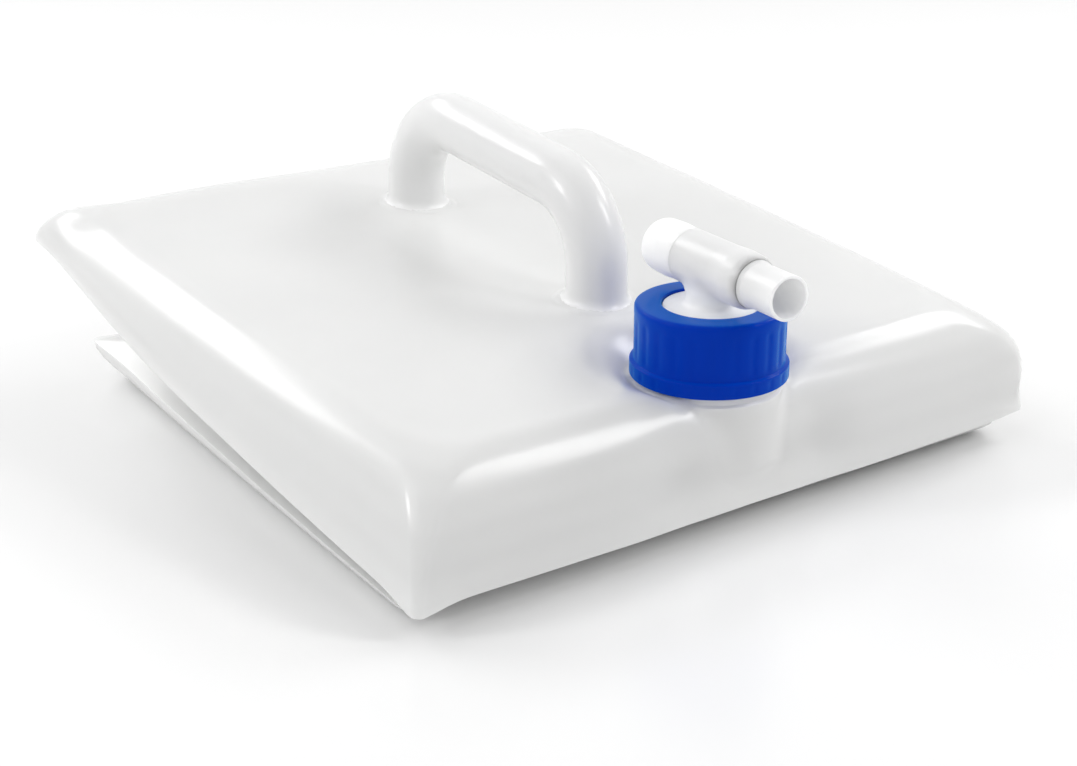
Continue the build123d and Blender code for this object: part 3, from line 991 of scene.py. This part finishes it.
# The handle's faces take the painted-lighter copy of the film.
film_shell.data.materials.append(lighter_handle_material)
film_shell.data.polygons.foreach_set("material_index", [int(painted_lighter) for painted_lighter in handle_faces])

# %% [markdown]
# ## Floor, backdrop and light
# The photograph is a high-key packshot: white all round, with a soft shadow under the folds. The floor
# is a pale sheet that shows white to the camera and still takes the shadow, and the world is white to
# the camera and in reflections. Soft lamps behind, at the front right and at the right draw the light
# on the film's shoulders.

# %% Floor
FLOOR_HALF, FLOOR_DROP = 4, 0.0002
FLOOR_TONE, FLOOR_GLOW = 0.86, 0.02
floor_mesh = bpy.data.meshes.new("floor")
floor_mesh.from_pydata(
    [(x * FLOOR_HALF, y * FLOOR_HALF, 0) for x, y in ((-1, -1), (1, -1), (1, 1), (-1, 1))], [], [(0, 1, 2, 3)],
)
floor = bpy.data.objects.new("floor", floor_mesh)
bpy.context.scene.collection.objects.link(floor)
floor.location.z = -FLOOR_DROP
floor_material = bpy.data.materials.new("pale_floor")
floor_material.use_nodes = True
floor_tree = floor_material.node_tree
floor_shader = floor_tree.nodes["Principled BSDF"]
floor_shader.inputs["Base Color"].default_value = (FLOOR_TONE, FLOOR_TONE, FLOOR_TONE, 1)
floor_shader.inputs["Roughness"].default_value = 0.25
seen = made_node(floor_tree, "ShaderNodeLightPath")
share = made_node(floor_tree, "ShaderNodeMath", [
    (0, seen.outputs["Is Camera Ray"]), (1, FLOOR_GLOW),
], operation="MULTIPLY")
glow = made_node(floor_tree, "ShaderNodeEmission", [("Color", (1, 1, 1, 1)), ("Strength", share.outputs[0])])
floor_mix = made_node(floor_tree, "ShaderNodeAddShader", [(0, floor_shader.outputs[0]), (1, glow.outputs[0])])
floor_tree.links.new(floor_mix.outputs[0], floor_tree.nodes["Material Output"].inputs["Surface"])
floor.data.materials.append(floor_material)
print("floor ready")

# %% [markdown]
# The lamps are soft boxes of low power, so that only their reflections turn white on the film. The
# first four stand where a shoulder of the film could mirror them towards the camera, and the last one
# fills the left side.

# %% World and lamps
WORLD_FILL = 0.63
scene = bpy.context.scene
scene.view_settings.view_transform = "Standard"
world = bpy.data.worlds.new("studio")
scene.world = world
world.use_nodes = True
world_tree = world.node_tree
background = world_tree.nodes["Background"]
background.inputs["Color"].default_value = (1, 1, 1, 1)
background.inputs["Strength"].default_value = WORLD_FILL
white = made_node(world_tree, "ShaderNodeBackground", [("Color", (1, 1, 1, 1)), ("Strength", 1.0)])
rays = made_node(world_tree, "ShaderNodeLightPath")
camera_or_glossy = made_node(world_tree, "ShaderNodeMath", [
    (0, rays.outputs["Is Camera Ray"]), (1, rays.outputs["Is Glossy Ray"]),
], operation="MAXIMUM")
any_seen = made_node(world_tree, "ShaderNodeMath", [
    (0, camera_or_glossy.outputs[0]), (1, rays.outputs["Is Transmission Ray"]),
], operation="MAXIMUM")
world_mix = made_node(world_tree, "ShaderNodeMixShader", [
    (0, any_seen.outputs[0]), (1, background.outputs[0]), (2, white.outputs[0]),
])
world_tree.links.new(world_mix.outputs[0], world_tree.nodes["World Output"].inputs["Surface"])


def soft_lamp(name, direction, distance, width, depth, power, target=(0, 0, 0.04)):
    """A rectangular lamp that faces the carrier from a direction."""
    data = bpy.data.lights.new(name, "AREA")
    data.shape, data.size, data.size_y, data.energy = "RECTANGLE", width, depth, power
    lamp = bpy.data.objects.new(name, data)
    bpy.context.scene.collection.objects.link(lamp)
    aim = Vector(direction).normalized()
    lamp.location = Vector(target) + aim * distance
    lamp.rotation_mode = "QUATERNION"
    lamp.rotation_quaternion = aim.to_track_quat("Z", "Y")
    return lamp


soft_lamp("back_strip", (-0.26, 0.745, 0.61), 1.3, 0.9, 0.26, 4.3)
soft_lamp("front_box", (0.50, -0.60, 0.62), 1.3, 0.28, 0.5, 3.6)
soft_lamp("right_box", (0.79, -0.05, 0.61), 1.3, 0.7, 0.3, 3.8)
soft_lamp("corner_box", (-0.80, 0.25, 0.50), 1.3, 0.22, 0.22, 2.0)
soft_lamp("left_fill", (-0.8, 0.1, 0.7), 1.5, 1.0, 1.0, 3.2)
print("lamps ready")
